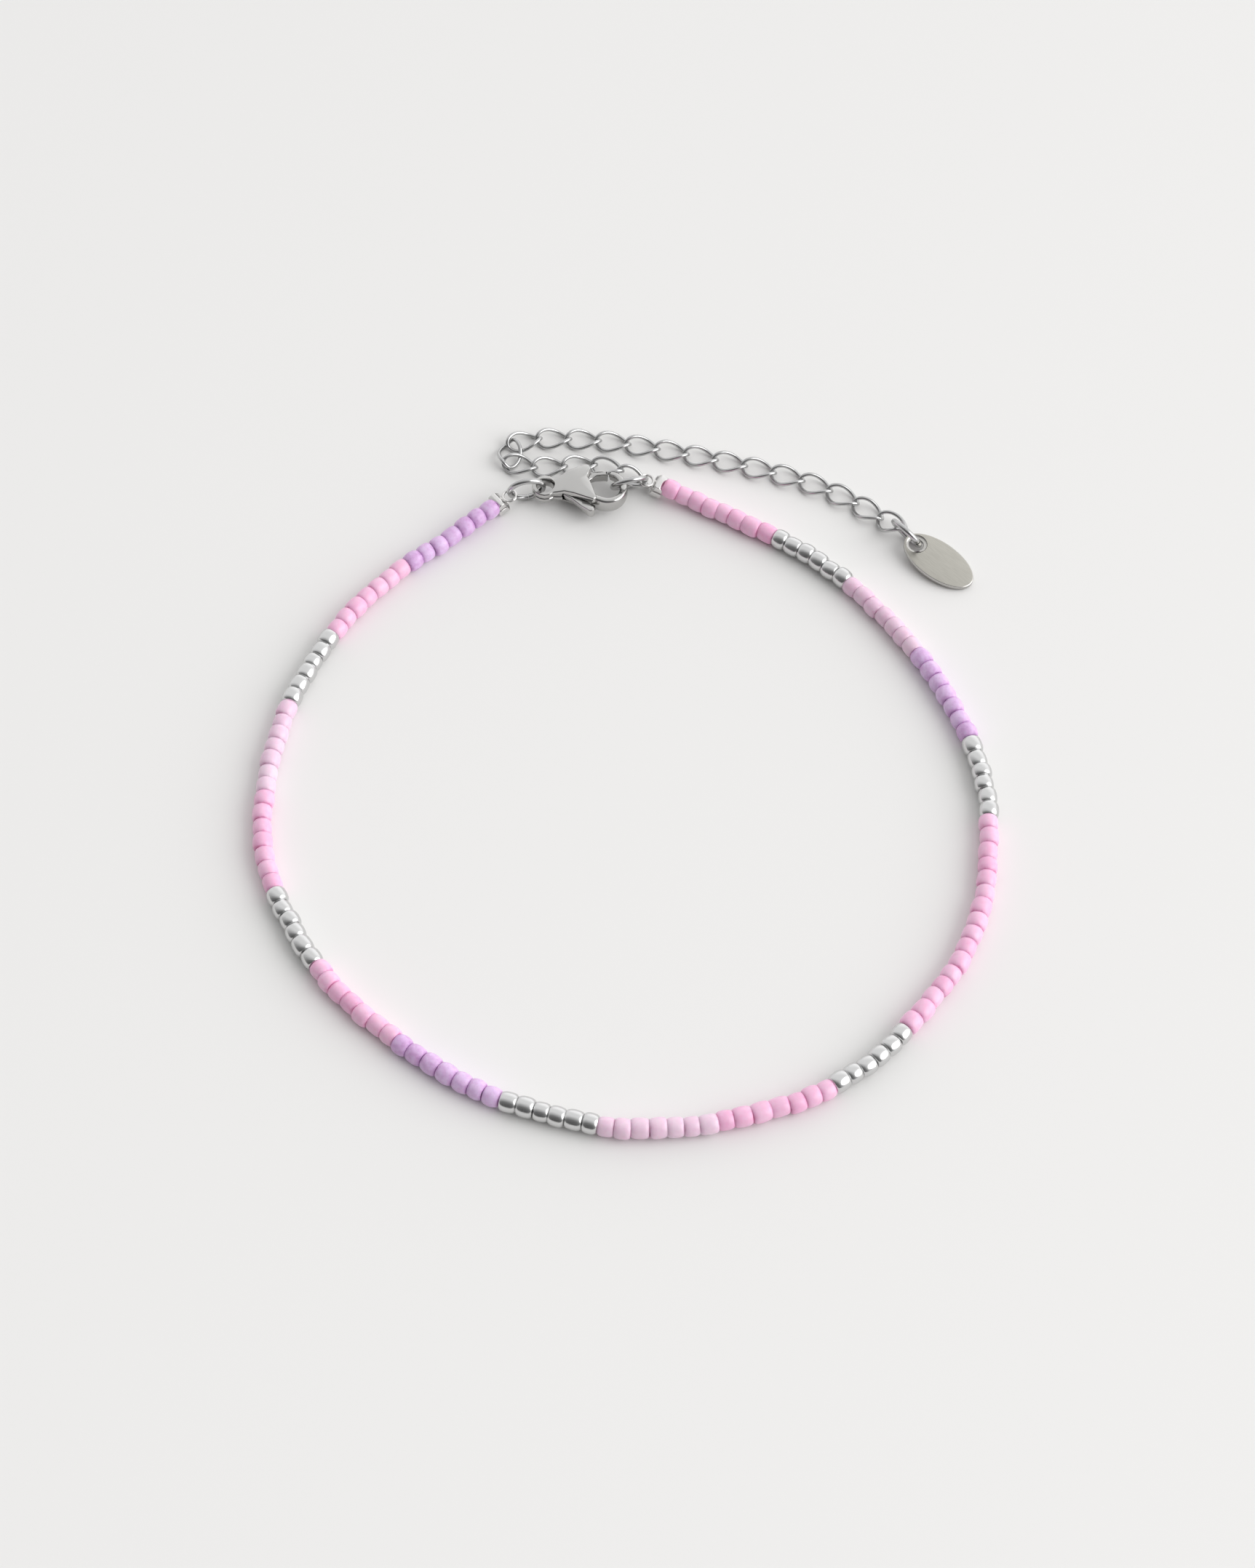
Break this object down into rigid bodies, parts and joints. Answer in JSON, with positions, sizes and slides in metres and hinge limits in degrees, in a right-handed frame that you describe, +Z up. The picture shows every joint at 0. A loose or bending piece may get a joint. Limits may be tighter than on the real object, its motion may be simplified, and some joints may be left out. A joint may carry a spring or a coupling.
{
  "type": "beaded anklet",
  "caption": "Closed strand of small round beads in pink, lilac and silver sections, with a lobster clasp, an extender chain and a plain oval tag.",
  "frame": {"origin": "on the surface it lies on, under the middle of the anklet's box", "axes": "+Z up, +Y from the strand's bottom towards the clasp and the extender chain, +X to the right of both"},
  "size_m": [0.0738, 0.0861, 0.0041],
  "materials": {
    "beads": "opaque satin glass in sections of pink, light pink, lilac and mirror silver",
    "bright_steel": "polished steel",
    "satin_steel": "fine brushed steel"
  },
  "bodies": {
    "anklet": {"bead_string": "beads", "crimp_left": "bright_steel", "crimp_right": "bright_steel", "ring_left": "bright_steel", "ring_right": "bright_steel", "ring_tag": "bright_steel", "tag": "satin_steel", "clasp_body": "bright_steel", "link_01": "bright_steel", "link_02": "bright_steel", "link_03": "bright_steel", "link_04": "bright_steel", "link_05": "bright_steel", "link_06": "bright_steel", "link_07": "bright_steel", "link_08": "bright_steel", "link_09": "bright_steel", "link_10": "bright_steel", "link_11": "bright_steel", "link_12": "bright_steel", "link_13": "bright_steel", "link_14": "bright_steel", "link_15": "bright_steel", "link_16": "bright_steel", "link_17": "bright_steel", "link_18": "bright_steel", "link_19": "bright_steel", "link_20": "bright_steel"},
    "lever": {"clasp_lever": "bright_steel"}
  },
  "joints": [
    {"name": "clasp_opening", "type": "hinge", "parent": "anklet", "child": "lever", "pos_m": [-0.005, 0.03429, 0.00164], "axis": [0, 0, -1], "range_deg": [0, 20], "stiffness_Nm_per_rad": 0.005, "springref_deg": -5.73}
  ]
}
